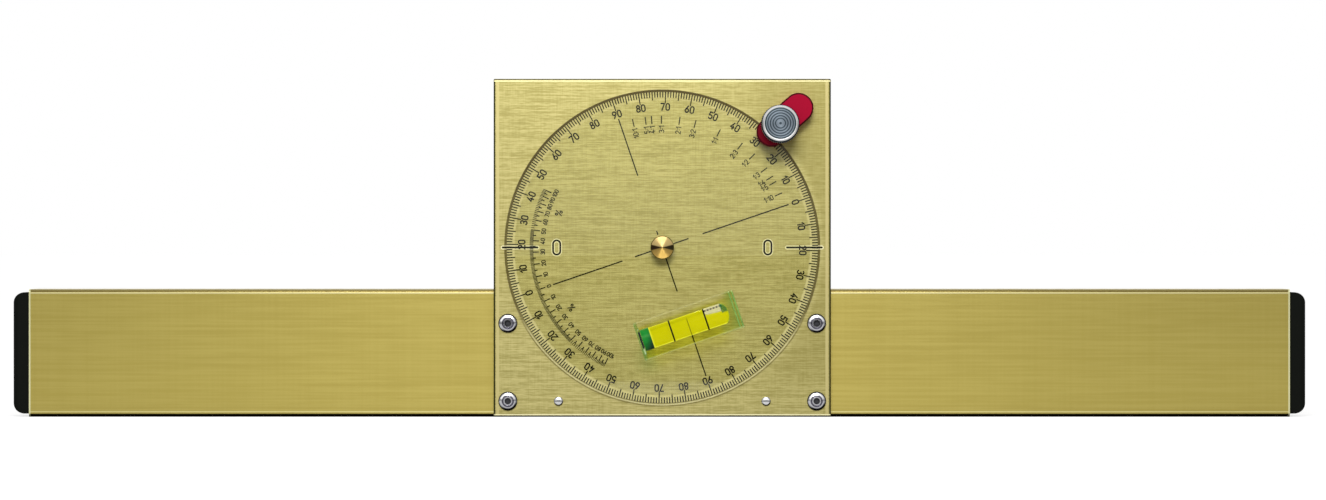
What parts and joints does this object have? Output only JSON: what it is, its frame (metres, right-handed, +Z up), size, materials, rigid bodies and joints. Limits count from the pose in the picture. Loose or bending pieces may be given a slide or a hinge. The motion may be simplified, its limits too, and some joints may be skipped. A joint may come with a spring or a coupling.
{
  "type": "angle level",
  "caption": "Aluminium straightedge with a square face plate, a clear turning degree dial that carries a spirit vial, and a thumb-screw clamp on the dial's rim.",
  "frame": {"origin": "centre of the bar's lower measuring face", "axes": "+X along the bar, to the right as seen from the front; -Y out of the front, where the dial is; +Z up"},
  "size_m": [0.5, 0.0408, 0.1304],
  "materials": {
    "bar_anodised": "gold anodised, fine drawn grain along the bar",
    "cap_plastic": "black, moulded",
    "plate_anodised": "light gold anodised, brushed from left to right",
    "mark_paint": "black paint in engraved marks",
    "rivet_aluminium": "bright",
    "plain_steel": "zinc plated",
    "screw_chrome": "polished",
    "dial_clear": "clear, polished",
    "pivot_brass": "turned",
    "vial_clear": "clear, polished",
    "plug_green": "green, moulded",
    "liquid_yellow": "clear yellow liquid",
    "ring_black": "black",
    "bubble_air": "air, seen as a bright mirror",
    "shoe_red": "crimson, satin",
    "knob_steel": "turned, nickel plated"
  },
  "bodies": {
    "frame": {"bar_profile": "bar_anodised", "end_cap_left": "cap_plastic", "end_cap_right": "cap_plastic", "face_plate": "plate_anodised", "index_marks": "mark_paint", "blind_rivets": "rivet_aluminium", "rivet_mandrels": "plain_steel", "locating_screws": "screw_chrome", "pivot_screw": "pivot_brass", "pivot_spacer": "pivot_brass", "pivot_washer": "plain_steel", "pivot_nut": "plain_steel", "clamp_bush": "pivot_brass"},
    "dial": {"dial_disc": "dial_clear", "vial_block": "vial_clear", "vial_plug": "plug_green", "vial_liquid": "liquid_yellow", "vial_rings": "ring_black"},
    "bubble": {"vial_bubble": "bubble_air"},
    "lifter": {"clamp_washer": "plain_steel"},
    "thumb_screw": {"clamp_knob": "knob_steel", "clamp_stud": "plain_steel"},
    "shoe": {"clamp_shoe": "shoe_red"}
  },
  "joints": [
    {"name": "dial_turn", "type": "hinge", "parent": "frame", "child": "dial", "pos_m": [0.0011, -0.0143, 0.0654], "axis": [0, -1, 0], "continuous": true},
    {"name": "bubble_travel", "type": "slide", "parent": "dial", "child": "bubble", "axis": [0.9466, 0, 0.3223], "range_m": [-0.0217, 0], "deforming": ["vial_liquid"]},
    {"name": "clamp_lift", "type": "slide", "parent": "frame", "child": "lifter", "axis": [0, -1, 0], "range_m": [0, 0.0007]},
    {"name": "knob_turn", "type": "hinge", "parent": "lifter", "child": "thumb_screw", "pos_m": [0.04621, -0.0225, 0.11261], "axis": [0, -1, 0], "range_deg": [0, 360]},
    {"name": "shoe_swivel", "type": "hinge", "parent": "lifter", "child": "shoe", "pos_m": [0.04621, -0.0185, 0.11261], "axis": [0, -1, 0], "range_deg": [-15, 15]}
  ],
  "couplings": [
    {"joint": "clamp_lift", "follows": "knob_turn", "m_per_rad": 0.0001114}
  ]
}
